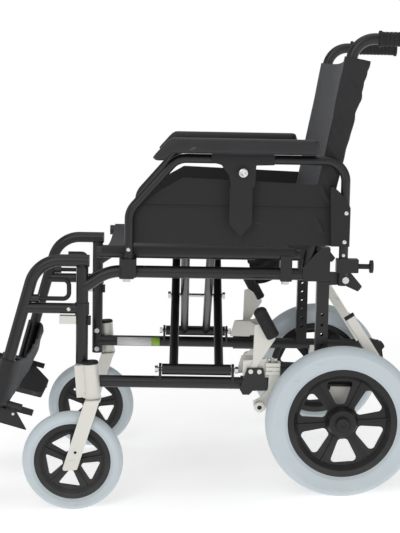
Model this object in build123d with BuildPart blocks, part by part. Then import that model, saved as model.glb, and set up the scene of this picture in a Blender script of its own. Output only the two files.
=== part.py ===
from build123d import *
import math
import os

# Transit wheelchair, millimetres. It faces -Y, +X is the user's left, +Z is up and x = 0 is its
# plane of symmetry. While it is drawn, y = 0 is the rear axle and z = 0 the floor; at the end the
# whole chair is moved along Y, so the origin is under the middle of its overall box.
# The side frames lean back by `rake`. (s, t) are their own coordinates: s runs rearwards along the
# rails, t up along the posts, and both are 0 at the rear axle.

# Overall
rake = 4.7
half_track = 215.0            # centre plane of a side frame
arm_plane = half_track + 25   # centre plane of an armrest
rear_radius = 150.0
rear_tyre_width = 44.0
rear_wheel_plane = half_track + 47
caster_radius = 100.0
caster_tyre_width = 30.0
caster_plane = half_track + 21
caster_set_back = 28.5        # from the foot of the front post to the swivel axis
caster_trail = 49.5

# Side frame
tube = 24.0
wall = 2.0
post_s = -513.0
post_top = 291.0
post_foot = 35.0
lower_rail_t = 63.0
lower_rail_end = 140.0
upper_rail_t = 283.5
upright_s = -40.0
upright_top = 338.0
lowest_hole_t = 105.0
hole_pitch = 20.0
hole_count = 6
hole_diameter = 6.4
gusset_thickness = 4.0
gusset_weld = 7.0              # height of the bar that ties the gusset's two plates through the rail
rail_bend = 80.0
upright_half = 12.0

# Back and push handle
cane_tube = 22.0
cane_lean = 10.3
cane_foot = (-71.0, 299.0)
cane_bend = 45.0
handle_t = 742.0
grip_lead = 44.5               # the grip starts this far behind the top of the straight cane
grip_length = 100.0
grip_diameter = 28.0
grip_rib_pitch = 8.0

# Cross brace
seat_rail_t = 321.0
seat_rail_tube = 22.0
seat_rail_front = -485.0
seat_rail_rear = -86.0
brace_tube = 18.0
brace_pivot_t = 89.0
pivot_tube = 22.0
pivot_front = -354.0
pivot_rear = -217.0
outer_arms = (-331.0, -241.0)
inner_arms = (-311.0, -261.0)
pivot_bolt = 8.0
running = 0.05                # radial clearance of a running fit
gap = 0.3                     # clearance between faces that pass each other

# Legrest
hanger_tube = 24.0
hanger_t = 303.0
hanger_lean = 15.6
hanger_corner = (post_s - 89.0, hanger_t)
hanger_bend = 62.0
hanger_foot_t = 96.0
stem_tube = 19.0
stem_foot_t = 14.0
cross_tube = 21.0
cross_t = 208.0
footplate_width = 128.0
footplate_thickness = 12.0
footplate_wall = 44.0
footplate_droop = 15.0

# Armrest
arm_tube = 18.0
arm_front_s = -421.0
arm_top_t = 508.0
arm_rear_s = -4.0
arm_pivot = (0.0, 278.0)
panel_thickness = 3.2
pad_width = 48.0
pad_bottom = 518.0
pad_top = 548.0

# Soft parts
sling_thickness = 6.0
back_bottom = 352.0
back_top = 700.0

lean = math.radians(rake)
caster_stem_y = post_s + caster_set_back
caster_axle_y = caster_stem_y - caster_trail
axle_point = Vector(0, 0, rear_radius)
rear_way = Vector(0, math.cos(lean), -math.sin(lean))
up_way = Vector(0, math.sin(lean), math.cos(lean))
pieces = {}


def at(x, s, t):
    """The point at side coordinates (s, t) in the plane x."""
    return axle_point + Vector(x, 0, 0) + rear_way * s + up_way * t


def side_plane(x, s=0.0, t=0.0):
    """The side plane at x: its own x runs rearwards, its own y upwards."""
    return Plane(origin=at(x, s, t), x_dir=rear_way, z_dir=(1, 0, 0))


def rod(points, diameter, bend=None):
    """A round bar along points given as (x, s, t), its corners bent to the radius `bend`."""
    corners = [at(*point) for point in points]
    with BuildPart() as bar:
        with BuildLine() as path:
            if bend:
                FilletPolyline(*corners, radius=bend)
            else:
                Polyline(*corners)
        with BuildSketch(Plane(origin=path.line @ 0, z_dir=path.line % 0)):
            Circle(diameter / 2)
        sweep(path=path.wire())
    return bar.part


def slab(x, thickness, outline, corner=0.0):
    """A flat plate from x to x + thickness with an outline of (s, t) points."""
    with BuildPart() as plate:
        with BuildSketch(side_plane(x)) as face:
            with BuildLine():
                Polyline(*outline, close=True)
            make_face()
            if corner:
                fillet(face.vertices(), corner)
        extrude(amount=thickness)
    return plate.part


def pin(x, length, s, t, diameter):
    """A round bar along X from x to x + length, centred at (s, t)."""
    with BuildPart() as bar:
        with BuildSketch(side_plane(x, s, t)):
            Circle(diameter / 2)
        extrude(amount=length)
    return bar.part


def both_sides(builder, name):
    """Keeps the left piece and its mirror image on the right."""
    pieces["left_" + name] = builder.part
    pieces["right_" + name] = mirror(builder.part, about=Plane.YZ)


# Side frame: post, lower and upper rails, upright with its row of holes, gusset and brace lugs
rail_dip = (post_s, 249.0)
lug_gap = 1.0
lug_thickness = 5.0
frame_paths = [
    [(half_track, post_s, post_foot), (half_track, post_s, post_top)],
    [(half_track, post_s, lower_rail_t), (half_track, lower_rail_end, lower_rail_t)],
]
rail_path = [
    (half_track, upright_s, upper_rail_t),
    (half_track, post_s + 51, upper_rail_t),
    (half_track, *rail_dip),
]
with BuildPart() as side_frame:
    for path in frame_paths:
        add(rod(path, tube))
    add(rod(rail_path, tube, bend=rail_bend))
    add(slab(half_track - cane_tube / 2, cane_tube, [
        (upright_s - upright_half, lower_rail_t),
        (upright_s + upright_half, lower_rail_t),
        (upright_s + upright_half, upright_top),
        (upright_s - upright_half, upright_top),
    ]))
    for way in (-1, 1):
        cheek = half_track + way * (cane_tube / 2 + gap + gusset_thickness / 2)
        add(slab(cheek - gusset_thickness / 2, gusset_thickness, [
            (upright_s - 41, upper_rail_t - 12),
            (upright_s + 12, upper_rail_t - 12),
            (upright_s + 12, upright_top),
            (upright_s - 6, upright_top),
            (upright_s - 41, upper_rail_t + 15),
        ], corner=3))
    tie_half = cane_tube / 2 + gap + 1
    add(slab(half_track - tie_half, 2 * tie_half, [
        (upright_s - 39, upper_rail_t - gusset_weld / 2),
        (upright_s, upper_rail_t - gusset_weld / 2),
        (upright_s, upper_rail_t + gusset_weld / 2),
        (upright_s - 39, upper_rail_t + gusset_weld / 2),
    ]))
    for lug in (pivot_front - lug_gap - lug_thickness, pivot_rear + lug_gap):
        with BuildSketch(Plane(origin=at(half_track, lug, lower_rail_t), x_dir=(1, 0, 0), z_dir=rear_way)):
            with Locations((0, -(brace_pivot_t - lower_rail_t))):
                SlotCenterToCenter(0.1, tube)
            with Locations((0, -(brace_pivot_t - lower_rail_t) / 2)):
                Rectangle(tube, brace_pivot_t - lower_rail_t)
        extrude(amount=lug_thickness)
    for path in frame_paths:
        add(rod(path, tube - 2 * wall), mode=Mode.SUBTRACT)
    add(rod(rail_path, tube - 2 * wall, bend=rail_bend), mode=Mode.SUBTRACT)
    add(slab(half_track - cane_tube / 2 + wall, cane_tube - 2 * wall, [
        (upright_s - upright_half + wall, lower_rail_t + tube / 4),
        (upright_s + upright_half - wall, lower_rail_t + tube / 4),
        (upright_s + upright_half - wall, upright_top - wall),
        (upright_s - upright_half + wall, upright_top - wall),
    ]), mode=Mode.SUBTRACT)
    for hole in range(hole_count):
        height = lowest_hole_t + hole * hole_pitch
        add(pin(half_track - 20, 40, upright_s, height, hole_diameter), mode=Mode.SUBTRACT)
    add(rod([
        (half_track, pivot_front - 20, brace_pivot_t),
        (half_track, pivot_rear + 20, brace_pivot_t),
    ], pivot_bolt), mode=Mode.SUBTRACT)
both_sides(side_frame, "side_frame")

# Back cane: leans back, then bends rearwards into the push handle
cane_top = handle_t
cane_top_s = cane_foot[0] + (cane_top - cane_foot[1]) * math.tan(math.radians(cane_lean))
grip_start = cane_top_s + grip_lead
cane_path = [
    (half_track, *cane_foot),
    (half_track, cane_top_s, cane_top),
    (half_track, grip_start + grip_length, cane_top),
]
with BuildPart() as back_cane:
    add(rod(cane_path, cane_tube, bend=cane_bend))
    add(rod(cane_path, cane_tube - 2 * wall, bend=cane_bend), mode=Mode.SUBTRACT)
both_sides(back_cane, "back_cane")

# Push grip: a ribbed rubber sleeve with a flange in front and a rounded end
with BuildPart() as push_grip:
    grip_end = grip_start + grip_length + 3
    add(rod([(half_track, grip_start, cane_top), (half_track, grip_end, cane_top)], grip_diameter))
    for flange in (grip_start, grip_end - 5):
        add(rod([(half_track, flange, cane_top), (half_track, flange + 5, cane_top)], grip_diameter + 4))
    for rib in range(int((grip_length - 16) / grip_rib_pitch)):
        groove = grip_start + 10 + rib * grip_rib_pitch
        with BuildSketch(Plane(origin=at(half_track, groove, cane_top), z_dir=rear_way)):
            Circle(grip_diameter / 2 + 1)
            Circle(grip_diameter / 2 - 1, mode=Mode.SUBTRACT)
        extrude(amount=grip_rib_pitch * 0.35, mode=Mode.SUBTRACT)
    add(rod([(half_track, grip_start - 1, cane_top), (half_track, grip_end - 3, cane_top)], cane_tube),
        mode=Mode.SUBTRACT)
both_sides(push_grip, "push_grip")

# Caster housing: an upright bearing barrel on a block bolted to the front post
barrel_diameter = 31.0
barrel_foot = 223.0
barrel_top = 292.0
stem_diameter = 12.0
with BuildPart() as caster_housing:
    with BuildSketch(Plane.XY.offset(barrel_foot)):
        with Locations((caster_plane, caster_stem_y)):
            Circle(barrel_diameter / 2)
    extrude(amount=barrel_top - barrel_foot)
    with BuildSketch(Plane.XY.offset(barrel_foot + 4)):
        with Locations(((half_track + caster_plane) / 2 + 7, (post_s + caster_stem_y) / 2)):
            Rectangle(20, 34)
    extrude(amount=barrel_top - barrel_foot - 5)
    for height in (39, 84):
        add(pin(caster_plane + 6, 3, post_s + 8, height, 9))
    add(rod([(half_track, post_s, 0), (half_track, post_s, 200)], tube), mode=Mode.SUBTRACT)
    add(rod([(half_track, post_s, lower_rail_t), (half_track, post_s + 73, lower_rail_t)], tube),
        mode=Mode.SUBTRACT)
    with BuildSketch(Plane.XY.offset(barrel_foot - 1)):
        with Locations((caster_plane, caster_stem_y)):
            Circle(stem_diameter / 2 + running)
    extrude(amount=barrel_top - barrel_foot - 6, mode=Mode.SUBTRACT)
both_sides(caster_housing, "caster_housing")

# Caster fork: stem, crown and two flat legs that slant forward to the axle
fork_leg = 30.0
fork_plate = 4.0
fork_inside = caster_tyre_width + 10.0
crown_z = 222.0
axle_bolt = 10.0
axle_head = 1.2
leg_x = caster_plane - fork_inside / 2 - fork_plate
with BuildPart() as caster_fork:
    with BuildSketch(Plane.XY.offset(crown_z - fork_plate)):
        with Locations((caster_plane, caster_stem_y)):
            RectangleRounded(fork_inside + 2 * fork_plate, fork_leg, 5)
    extrude(amount=fork_plate)
    with BuildSketch(Plane.XY.offset(crown_z - fork_plate)):
        with Locations((caster_plane, caster_stem_y)):
            Circle(stem_diameter / 2)
    extrude(amount=barrel_top - barrel_foot - 8)
    slant = (caster_axle_y - caster_stem_y) / (crown_z - caster_radius)
    for leg in (leg_x, leg_x + fork_inside + fork_plate):
        with BuildSketch(Plane(origin=(leg, 0, 0), x_dir=(0, 1, 0), z_dir=(1, 0, 0))) as outline:
            with BuildLine():
                Polyline(
                    (caster_stem_y - fork_leg / 2, crown_z),
                    (caster_stem_y + fork_leg / 2, crown_z),
                    (caster_axle_y + 14 * slant + fork_leg / 2, caster_radius - 14),
                    (caster_axle_y + 14 * slant - fork_leg / 2, caster_radius - 14),
                    close=True,
                )
            make_face()
            fillet(outline.vertices(), 4)
            with Locations((caster_axle_y - 21 * slant, caster_radius + 21)):
                Circle(3, mode=Mode.SUBTRACT)
        extrude(amount=fork_plate)
    with BuildSketch(Plane(origin=(leg_x, caster_axle_y, caster_radius), x_dir=(0, 1, 0), z_dir=(1, 0, 0))):
        Circle(axle_bolt / 2)
    extrude(amount=fork_inside + 2 * fork_plate)
    for head in (leg_x - axle_head, leg_x + fork_inside + 2 * fork_plate):
        with BuildSketch(Plane(origin=(head, caster_axle_y, caster_radius), x_dir=(0, 1, 0), z_dir=(1, 0, 0))):
            Circle(6)
        extrude(amount=axle_head)
both_sides(caster_fork, "caster_fork")


def wheel(plane_x, y, radius, rim_radius, width, hub_radius, bore, windows, depth):
    """The rim and tyre of a moulded wheel that stands at plane_x, as a pair of parts."""
    half = width / 2
    seat = half - 4
    section = Plane(origin=(plane_x, y, radius), x_dir=(1, 0, 0), z_dir=(0, -1, 0))
    turn = Axis((plane_x, y, radius), (1, 0, 0))
    with BuildPart() as rim:
        with BuildSketch(section):
            with BuildLine():
                Polyline(
                    (-seat, rim_radius), (seat, rim_radius), (seat, rim_radius - depth),
                    (4, rim_radius - depth - 8), (4, hub_radius + 3), (half + 1, hub_radius - 3),
                    (half + 1, bore), (-half - 1, bore), (-half - 1, hub_radius - 3), (-4, hub_radius + 3),
                    (-4, rim_radius - depth - 8), (-seat, rim_radius - depth), close=True,
                )
            make_face()
        revolve(axis=turn)
        count, inner, outer, inner_width, outer_width, start, corner = windows
        side = Plane(origin=(plane_x - half, y, radius), x_dir=(0, 1, 0), z_dir=(1, 0, 0))
        with BuildSketch(side) as holes:
            with PolarLocations(0, count, start_angle=start):
                Polygon(
                    (inner, -inner_width / 2), (outer, -outer_width / 2),
                    (outer, outer_width / 2), (inner, inner_width / 2), align=None,
                )
            fillet(holes.vertices(), corner)
        extrude(amount=width, mode=Mode.SUBTRACT)
        with BuildSketch(side.offset(half - 7)) as ribs:
            with PolarLocations(0, count, start_angle=start + 180 / count):
                with Locations(((hub_radius + rim_radius - depth) / 2, 0)):
                    Rectangle(rim_radius - depth - hub_radius + 4, 3)
        extrude(amount=14)
    with BuildPart() as tyre:
        with BuildSketch(section):
            with BuildLine():
                shoulder = radius - half * 0.62
                Polyline(
                    (-half, shoulder), (-half, rim_radius + 6), (-seat, rim_radius),
                    (seat, rim_radius), (half, rim_radius + 6), (half, shoulder),
                )
                ThreePointArc((half, shoulder), (0, radius), (-half, shoulder))
            make_face()
        revolve(axis=turn)
    return rim, tyre


rear_rim, rear_tyre = wheel(
    rear_wheel_plane, 0, rear_radius, rear_radius - 43, rear_tyre_width, 29, 8 + running,
    (6, 34, rear_radius - 68, 17, 58, 30, 8), 12)
caster_rim, caster_tyre = wheel(
    caster_plane, caster_axle_y, caster_radius, caster_radius - 24, caster_tyre_width, 16,
    axle_bolt / 2 + running, (5, 20, caster_radius - 49, 8, 46, -30, 3), 10)
both_sides(rear_rim, "rear_rim")
both_sides(rear_tyre, "rear_tyre")
both_sides(caster_rim, "caster_rim")
both_sides(caster_tyre, "caster_tyre")

# Axle bracket: a plate under the lower rail that carries the rear axle
rear_hub_inner = rear_wheel_plane - rear_tyre_width / 2 - 1
with BuildPart() as axle_bracket:
    add(slab(half_track - 2, 16, [(-20, 51), (20, 51), (20, 34), (13, -14), (-13, -14), (-20, 34)], corner=3))
    add(slab(half_track - 14, 28, [(-20, 47), (20, 47), (20, 62), (-20, 62)]))
    add(rod([(half_track, -40, lower_rail_t), (half_track, 40, lower_rail_t)], tube), mode=Mode.SUBTRACT)
    axle_end = rear_wheel_plane + rear_tyre_width / 2 + 1 + gap
    add(pin(half_track - 8, axle_end - half_track + 8, 0, 0, 16))
    add(pin(half_track + 14, rear_hub_inner - gap - half_track - 14, 0, 0, 26))
both_sides(axle_bracket, "axle_bracket")

# Rear strut: a square stay from the lower rail up behind the upright, one each side
strut = 20.0
strut_top = Vector(half_track, 32, 347)
strut_foot = Vector(half_track, 102, 219)
strut_way = (strut_foot - strut_top).normalized()
with BuildPart() as rear_strut:
    with BuildSketch(Plane(origin=strut_top, x_dir=(1, 0, 0), z_dir=strut_way)):
        RectangleRounded(strut, strut, 2.5)
        RectangleRounded(strut - 4, strut - 4, 1, mode=Mode.SUBTRACT)
    extrude(amount=(strut_foot - strut_top).length)
    add(rod([(half_track, 60, lower_rail_t), (half_track, 145, lower_rail_t)], tube), mode=Mode.SUBTRACT)
both_sides(rear_strut, "rear_strut")

# Sockets: two seat-rail saddles, the armrest's front socket, and the lug of its rear pivot
saddle_top = seat_rail_t - 1
with BuildPart() as sockets:
    for front, rear in ((arm_front_s - 19, arm_front_s + 10), (upright_s - 85, upright_s - 62)):
        foot = upper_rail_t - tube / 2 - 1.5
        add(slab(half_track - tube / 2 - 3, tube + 6, [
            (front, foot), (rear, foot), (rear, saddle_top), (front, saddle_top),
        ], corner=2))
        add(rod([(half_track, front - 5, upper_rail_t), (half_track, rear + 5, upper_rail_t)], tube),
            mode=Mode.SUBTRACT)
        add(rod([(half_track, front - 5, seat_rail_t), (half_track, rear + 5, seat_rail_t)],
                seat_rail_tube + 2 * gap), mode=Mode.SUBTRACT)
    cup = arm_tube / 2 + 2
    with BuildSketch(Plane(origin=at(arm_plane, arm_front_s, 276), x_dir=(1, 0, 0), z_dir=up_way)):
        RectangleRounded(30, 30, 4)
        with Locations((-13, 0)):
            Rectangle(10, 24)
    extrude(amount=36)
    with BuildSketch(Plane(origin=at(arm_plane, arm_front_s, 282), x_dir=(1, 0, 0), z_dir=up_way)):
        Circle(cup)
    extrude(amount=40, mode=Mode.SUBTRACT)
    for height, width in ((upper_rail_t, tube), (seat_rail_t, seat_rail_tube + 2 * gap)):
        add(rod([(half_track, arm_front_s - 35, height), (half_track, arm_front_s + 41, height)], width),
            mode=Mode.SUBTRACT)
    lug_x = half_track + tube / 2 + 4
    add(slab(half_track + 11, lug_x - gap - half_track - 11, [
        (upright_s - 11, 264), (-2, 266), (28, 253), (36, 263), (12, 291), (-27, 291), (upright_s - 11, 300)],
        corner=3))
    add(slab(half_track - 20, 37, [
        (upright_s - 50, 271), (upright_s + 12, 271), (upright_s + 12, 350), (upright_s - 50, 350)]),
        mode=Mode.SUBTRACT)
both_sides(sockets, "sockets")

# Armrest: a bent tube loop with a locking block round its rear leg
arm_leg_foot = 266.0
arm_path = [
    (arm_plane, arm_front_s, 288),
    (arm_plane, arm_front_s, 404),
    (arm_plane, -330, arm_top_t),
    (arm_plane, arm_rear_s, arm_top_t),
    (arm_plane, arm_rear_s, arm_leg_foot),
]
block_width = 20.0
with BuildPart() as armrest_tube:
    add(rod(arm_path, arm_tube, bend=40))
    add(slab(arm_plane - 8.5, block_width, [(-18, 292), (25, 292), (25, 319), (-18, 319)], corner=2))
    add(rod([(arm_plane, 8, 304), (arm_plane, 30, 304)], 10 + 2 * running), mode=Mode.SUBTRACT)
    add(pin(arm_plane - 12, 24, *arm_pivot, 8 + 2 * running), mode=Mode.SUBTRACT)
both_sides(armrest_tube, "armrest_tube")

# Side panel: a thin moulded skirt guard on the inner face of the loop, with a boss for the pad post
panel_x = arm_plane - arm_tube / 2 - panel_thickness - gap
post_center = -206.0
with BuildPart() as side_panel:
    add(slab(panel_x, panel_thickness, [
        (arm_front_s, 342), (arm_rear_s, 342), (arm_rear_s, 436), (-27, 460), (-318, 470), (-360, 446),
        (arm_front_s, 398)], corner=8))
    add(slab(panel_x, panel_thickness + 1.5, [(-396, 413), (-16, 413), (-16, 416), (-396, 416)]))
    add(slab(panel_x, arm_plane + arm_tube / 2 - panel_x, [
        (post_center - 17, 372), (post_center + 17, 372), (post_center + 17, 438), (post_center - 17, 438)],
        corner=4))
both_sides(side_panel, "side_panel")

# Pad post: a bracket under the pad whose tongue slides down over the panel's boss
out = arm_plane + arm_tube / 2 + gap
with BuildPart() as pad_post:
    add(slab(out, 4, [
        (post_center - 58, pad_bottom), (post_center + 63, pad_bottom), (post_center + 63, 498),
        (post_center + 28, 497), (post_center + 26, 455), (post_center - 18, 447), (post_center - 24, 477),
        (post_center - 39, 497), (post_center - 58, 502)], corner=2))
    add(slab(out, 3, [
        (post_center - 22, 460), (post_center - 22, 384), (post_center, 358), (post_center + 22, 384),
        (post_center + 22, 460)], corner=5))
    add(pin(out + 4, 6, post_center + 3, 483, 18))
both_sides(pad_post, "pad_post")

# Arm pad
with BuildPart() as arm_pad:
    pad_inner = arm_plane - 8
    add(slab(pad_inner, pad_width, [
        (-60, pad_bottom), (-58, pad_top), (-332, pad_top), (-376, 510), (-368, 501), (-346, 501),
        (-326, pad_bottom)]))
    fillet(arm_pad.edges().filter_by(Axis.X), 3)
    add(rod(arm_path, arm_tube + 2 * gap, bend=40), mode=Mode.SUBTRACT)
both_sides(arm_pad, "arm_pad")

# Spring plunger that locks the armrest
with BuildPart() as plunger:
    add(rod([(arm_plane, 10, 304), (arm_plane, 50, 304)], 10))
    add(rod([(arm_plane, 48, 304), (arm_plane, 54, 304)], 25))
both_sides(plunger, "plunger")

# Legrest hanger: forward over the post, then down and forward, with a cross tube and hinge sleeves
diagonal = Vector(-math.sin(math.radians(hanger_lean)), -math.cos(math.radians(hanger_lean)))
drop = (hanger_t - hanger_foot_t) / math.cos(math.radians(hanger_lean))
hanger_end = (
    half_track,
    hanger_corner[0] + diagonal.X * drop,
    hanger_corner[1] + diagonal.Y * drop,
)
hanger_path = [(half_track, post_s + 14, hanger_t), (half_track, *hanger_corner), hanger_end]


def on_diagonal(t):
    """s on the hanger's slanting centre line at height t."""
    return hanger_corner[0] + diagonal.X / diagonal.Y * (t - hanger_t)


hinge_sleeve = tube + 4.0
lever_t = 227.0
lever_ring = 16.0
with BuildPart() as legrest_hanger:
    add(rod(hanger_path, hanger_tube, bend=hanger_bend))
    add(rod([(half_track, on_diagonal(cross_t), cross_t), (half_track, post_s - 4, cross_t)], cross_tube))
    add(rod([(half_track, post_s, cross_t - 12), (half_track, post_s, cross_t + 12)], hinge_sleeve))
    ring_s = on_diagonal(lever_t) + hanger_tube / 2
    add(rod([(half_track, ring_s - 6, lever_t), (half_track, ring_s + 14, lever_t)], lever_ring))
    stem_bore = [(half_track, on_diagonal(230), 230), (half_track, on_diagonal(40), 40)]
    add(rod(stem_bore, stem_tube + 2 * running), mode=Mode.SUBTRACT)
    add(rod([(half_track, post_s, cross_t - 20), (half_track, post_s, hanger_t - hanger_tube / 2 - gap)],
            tube + 2 * running), mode=Mode.SUBTRACT)
    add(rod([(half_track, post_s, post_top - 30), (half_track, post_s, hanger_t - 2)], tube - 2 * wall - 1))
    add(rod([(half_track, ring_s + 2, lever_t), (half_track, ring_s + 20, lever_t)], 10 + 2 * running),
        mode=Mode.SUBTRACT)
both_sides(legrest_hanger, "legrest_hanger")

# Release lever: a bent rod beside the cross tube that frees the swing-away lock
with BuildPart() as release_lever:
    add(rod([
        (half_track, ring_s + 4, lever_t), (half_track, post_s - 26, lever_t),
        (half_track, post_s - 26, lever_t + 38), (half_track, post_s - 68, lever_t + 38)], 9, bend=12))
both_sides(release_lever, "release_lever")

# Foot stem: slides in the hanger and ends in the footplate's hinge barrel
stem_foot = (half_track, on_diagonal(stem_foot_t), stem_foot_t)
across = rear_way * math.cos(math.radians(hanger_lean)) - up_way * math.sin(math.radians(hanger_lean))
hinge_x = half_track - stem_tube / 2 - 7
hinge_center = at(hinge_x, on_diagonal(stem_foot_t + 2), stem_foot_t + 2)
hinge_barrel = 14.0
hinge_half = 20.0
with BuildPart() as foot_stem:
    add(rod([(half_track, on_diagonal(170), 170), stem_foot], stem_tube))
    with BuildSketch(Plane(origin=hinge_center - across * hinge_half, z_dir=across)):
        Circle(hinge_barrel / 2)
    extrude(amount=2 * hinge_half)
    with BuildSketch(Plane(origin=hinge_center - across * (hinge_half - 6), x_dir=(1, 0, 0), z_dir=across)):
        with Locations((8, 0)):
            Rectangle(16, 12)
    extrude(amount=2 * (hinge_half - 6))
    with BuildSketch(Plane(origin=hinge_center - across * 50, z_dir=across)):
        Circle(4)
    extrude(amount=100)
both_sides(foot_stem, "foot_stem")

# Footplate: a ribbed tray that hinges up beside the stem
plate_plane = Plane(origin=hinge_center, x_dir=(1, 0, 0), z_dir=across.cross(Vector(1, 0, 0)) * -1)
tray = plate_plane.rotated((0, -footplate_droop, 0))
toe = -108.0
heel_hinge = 24.0
heel_middle = 66.0
heel_inner = 57.0
with BuildPart() as footplate:
    with BuildSketch(tray.offset(-footplate_thickness)) as outline:
        with BuildLine():
            Polyline(
                (-4, toe), (-4, heel_hinge), (-footplate_width / 2, heel_middle),
                (-footplate_width - 4, heel_inner), (-footplate_width - 4, toe), close=True,
            )
        make_face()
        fillet(outline.vertices(), 6)
    extrude(amount=footplate_thickness)
    with BuildSketch(Plane(origin=hinge_center, x_dir=across, z_dir=(1, 0, 0)).offset(-12)):
        with BuildLine():
            Polyline(
                (toe, 3), (heel_hinge, 3), (heel_middle + 4, -footplate_wall), (toe, -footplate_wall),
                close=True,
            )
        make_face()
    extrude(amount=8)
    with BuildSketch(tray.offset(-footplate_thickness)) as knuckle_cut:
        Rectangle(30, 2 * hinge_half + 2)
    extrude(amount=footplate_thickness + 6, mode=Mode.SUBTRACT)
    for end in (-50, hinge_half + 1.5):
        with BuildSketch(Plane(origin=hinge_center + across * end, z_dir=across)):
            Circle(hinge_barrel / 2 - 1)
        extrude(amount=50 - hinge_half - 1.5)
    with BuildSketch(Plane(origin=hinge_center - across * 51, z_dir=across)):
        Circle(4 + running)
    extrude(amount=102, mode=Mode.SUBTRACT)
both_sides(footplate, "footplate")

# Brake: a clamp round the lower rail, a slide block and plates, a hand lever and a roller shoe.
# Outwards from the rail they are the mount's plate, the moving lever and shoe, and the clamp's plate.
lever_pivot = (-179.0, 92.0)
shoe_pivot = (-132.0, 96.0)
shoe_roller = (-161.0, 24.0)
plate_x = half_track + tube / 2 + gap
brake_x = plate_x + 4 + gap
outer_x = brake_x + 4 + gap
pivot_pin = 7.0
with BuildPart() as brake_clamp:
    add(slab(outer_x, 3.5, [
        (-192, 79), (-186, 99), (-154, 99), (-150, 79), (-146, 77), (-146, 54), (-174, 53), (-181, 45),
        (-194, 45), (-200, 56)], corner=2))
    add(slab(half_track + 8, outer_x - half_track - 8, [(-194, 56), (-153, 56), (-153, 78), (-194, 78)]))
    add(rod([(half_track, -198, lower_rail_t), (half_track, -150, lower_rail_t)], tube + 6))
    add(rod([(half_track, -220, lower_rail_t), (half_track, -130, lower_rail_t)], tube), mode=Mode.SUBTRACT)
    add(pin(plate_x - 1, 20, *lever_pivot, pivot_pin), mode=Mode.SUBTRACT)
both_sides(brake_clamp, "brake_clamp")
with BuildPart() as brake_mount:
    add(slab(plate_x, 4, [(-194, 81), (-120, 81), (-120, 110), (-143, 122), (-150, 116), (-194, 112)]))
    add(slab(half_track - 6, plate_x - half_track + 6, [(-147, 81), (-120, 81), (-120, 106), (-147, 106)]))
    add(slab(half_track - tube / 2 - 5, 4, [
        (-206, 80), (-196, 116), (-161, 116), (-148, 108), (-148, 84)], corner=2))
    add(slab(half_track - tube / 2 - 2, tube + 2, [(-190, 80), (-160, 80), (-160, 90), (-190, 90)]))
    add(rod([(half_track, -210, lower_rail_t), (half_track, -110, lower_rail_t)], tube + 6), mode=Mode.SUBTRACT)
    for pivot in (lever_pivot, shoe_pivot):
        add(pin(plate_x, outer_x - plate_x, *pivot, pivot_pin))
    add(pin(outer_x, 3.5, *lever_pivot, pivot_pin))
    add(pin(outer_x, 3, *shoe_pivot, 11))
    for bolt in (lever_pivot, (-162, 92)):
        add(pin(outer_x + 3.5, 3, *bolt, 9))
both_sides(brake_mount, "brake_mount")
with BuildPart() as brake_lever:
    add(slab(brake_x, 4, [
        (-187, 86), (-173, 84), (-165, 104), (-131, 158), (-139, 170), (-163, 186), (-173, 184), (-175, 108)],
        corner=2))
    add(rod([(brake_x + 11.8, -138, 166), (brake_x + 11.8, -161, 207)], 23))
    add(pin(brake_x - 1, 6, *lever_pivot, pivot_pin + 2 * running), mode=Mode.SUBTRACT)
both_sides(brake_lever, "brake_lever")
with BuildPart() as brake_shoe:
    add(slab(brake_x, 4, [
        (-142, 103), (-121, 103), (-121, 83), (-126, 58), (-142, 26), (-150, 13), (-170, 14), (-173, 31),
        (-158, 40), (-144, 56)], corner=2))
    add(pin(brake_x, 26, *shoe_roller, 20))
    add(pin(brake_x - 1, 6, *shoe_pivot, pivot_pin + 2 * running), mode=Mode.SUBTRACT)
both_sides(brake_shoe, "brake_shoe")

# Caps: barrel cap, strut cap, rear hub cap and the rubber toe of the tipping lever
with BuildPart() as frame_caps:
    with BuildSketch(Plane.XY.offset(barrel_top)):
        with Locations((caster_plane, caster_stem_y)):
            Circle(barrel_diameter / 2 + 0.5)
    extrude(amount=6)
    fillet(frame_caps.edges().group_by(Axis.Z)[-1], 4)
    add(rod([(half_track, post_s, 0), (half_track, post_s, 200)], tube), mode=Mode.SUBTRACT)
    with BuildSketch(Plane(origin=strut_top, x_dir=(1, 0, 0), z_dir=-strut_way)):
        RectangleRounded(strut + 1, strut + 1, 3)
    extrude(amount=3.5)
    add(pin(axle_end, 4, 0, 0, 26))
    add(slab(half_track - tube / 2 - 2, tube + 4, [
        (lower_rail_end - 20, lower_rail_t + 14), (lower_rail_end + 10, lower_rail_t + 6),
        (lower_rail_end + 14, lower_rail_t - 2), (lower_rail_end + 8, lower_rail_t - 9),
        (lower_rail_end + 12, lower_rail_t - 33), (lower_rail_end - 2, lower_rail_t - 40),
        (lower_rail_end - 14, lower_rail_t - 14)], corner=3))
    add(rod([(half_track, lower_rail_end - 30, lower_rail_t), (half_track, lower_rail_end, lower_rail_t)], tube),
        mode=Mode.SUBTRACT)
both_sides(frame_caps, "frame_caps")

# Fasteners of the side frame: brace pivot bolts, dome nuts, post bolts and the armrest's pivot bolt
with BuildPart() as frame_bolts:
    add(rod([
        (half_track, pivot_front - 14, brace_pivot_t),
        (half_track, pivot_rear + 14, brace_pivot_t),
    ], pivot_bolt))
    for end in (pivot_front - 14, pivot_rear + 8):
        with BuildSketch(Plane(origin=at(half_track, end, brace_pivot_t), z_dir=rear_way)):
            RegularPolygon(7, 6)
        extrude(amount=6)
    for place in (arm_front_s - 5, upright_s - 74):
        with BuildSketch(Plane(origin=at(half_track, place, upper_rail_t - tube / 2 - 1.5), z_dir=-up_way)):
            RegularPolygon(8, 6)
        extrude(amount=7)
    for height in (lower_rail_t + 25, lower_rail_t - 18):
        add(pin(half_track - tube / 2 - 5, 5, post_s, height, 11))
    add(pin(lug_x, arm_plane + 12 - lug_x, *arm_pivot, 8))
    add(pin(arm_plane + 12, 4, *arm_pivot, 13))
both_sides(frame_bolts, "frame_bolts")


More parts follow.
